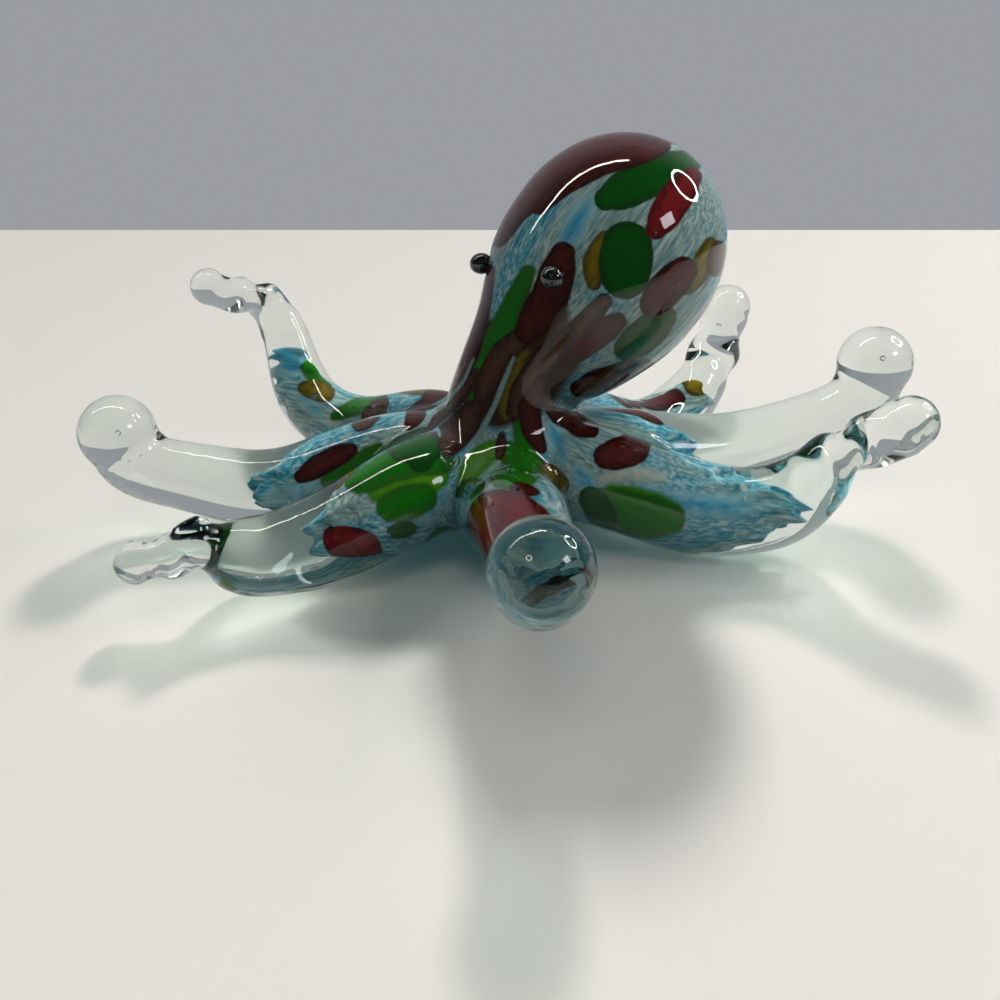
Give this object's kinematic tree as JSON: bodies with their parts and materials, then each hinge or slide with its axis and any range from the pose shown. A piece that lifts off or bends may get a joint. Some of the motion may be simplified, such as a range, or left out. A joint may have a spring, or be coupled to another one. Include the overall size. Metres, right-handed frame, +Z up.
{
  "type": "octopus figurine",
  "caption": "Solid glass octopus ornament: a coloured core cased in clear glass, a head leaning back over splayed arms with clear ball and knob tips, and bead eyes. Stands on its arms.",
  "frame": {"origin": "on the table, under the middle of the footprint", "axes": "+Z up; the face and eyes look towards -Y and the head leans back towards +Y; +X to the right as seen from in front of the face"},
  "size_m": [0.2136, 0.233, 0.1113],
  "materials": {
    "clear_glass": "fire-polished clear soda-lime glass",
    "colour_glass": "pale blue and white frit glass with maroon, green and amber chips",
    "eye_glass": "black glass bead with fine silver flecks"
  },
  "bodies": {
    "root": {"mantle_casing": "clear_glass", "front_arm_glass": "clear_glass", "front_right_arm_glass": "clear_glass", "right_arm_glass": "clear_glass", "back_right_arm_glass": "clear_glass", "back_arm_glass": "clear_glass", "back_left_arm_glass": "clear_glass", "left_arm_glass": "clear_glass", "front_left_arm_glass": "clear_glass", "front_arm_curl": "clear_glass", "mantle_colour": "colour_glass", "front_arm_colour": "colour_glass", "front_right_arm_colour": "colour_glass", "right_arm_colour": "colour_glass", "back_right_arm_colour": "colour_glass", "back_arm_colour": "colour_glass", "back_left_arm_colour": "colour_glass", "left_arm_colour": "colour_glass", "front_left_arm_colour": "colour_glass", "left_eye": "eye_glass", "right_eye": "eye_glass"}
  },
  "joints": []
}
